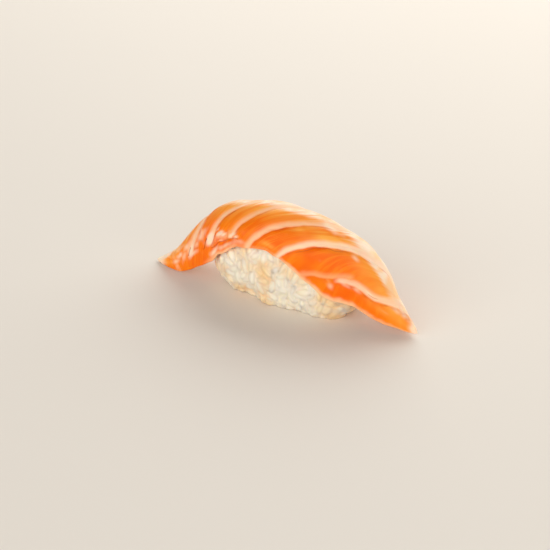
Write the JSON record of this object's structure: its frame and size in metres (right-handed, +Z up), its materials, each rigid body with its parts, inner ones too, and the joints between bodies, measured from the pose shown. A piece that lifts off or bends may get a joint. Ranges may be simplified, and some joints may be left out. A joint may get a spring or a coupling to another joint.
{
  "type": "salmon nigiri",
  "caption": "Bite of sushi: a long slice of raw salmon with pale fat lines, draped over a pressed mound of rice.",
  "frame": {"origin": "middle of the piece's outline, on the surface that the rice stands on", "axes": "+X along the slice towards its thin pointed tail, +Y to the side where the slice hangs lower over the rice, +Z up"},
  "size_m": [0.0926, 0.0242, 0.0301],
  "materials": {
    "cooked_rice": "moist, slightly translucent short-grain rice, warm ivory white",
    "salmon_flesh": "moist raw salmon, orange flesh between pale cream lines of fat"
  },
  "bodies": {
    "root": {"rice": "cooked_rice", "salmon": "salmon_flesh"}
  },
  "joints": []
}
